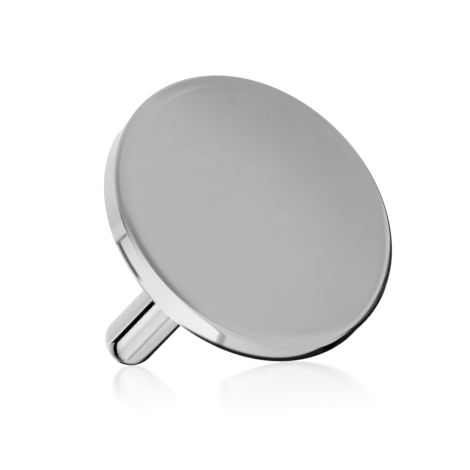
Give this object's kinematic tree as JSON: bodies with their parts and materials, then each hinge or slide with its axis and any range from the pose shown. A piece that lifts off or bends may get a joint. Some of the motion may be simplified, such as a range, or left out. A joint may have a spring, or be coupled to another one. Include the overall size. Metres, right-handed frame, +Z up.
{
  "type": "threadless labret top",
  "caption": "Flat round polished disc on a straight pin with a round tip and a shallow slot; pushes into a threadless labret post.",
  "frame": {"origin": "on the table, under the middle of the part's box, with the part lying as it rests by itself", "axes": "+Z up from the table, +Y the way the pin runs and slopes down, -Y the side that the disc's face looks to, X across the disc"},
  "size_m": [0.004, 0.0044, 0.0037],
  "materials": {
    "polished_titanium": "mirror polish with a faint haze",
    "turned_titanium": "fine turned, satin"
  },
  "bodies": {
    "root": {"disc": "polished_titanium", "pin": "turned_titanium"}
  },
  "joints": []
}
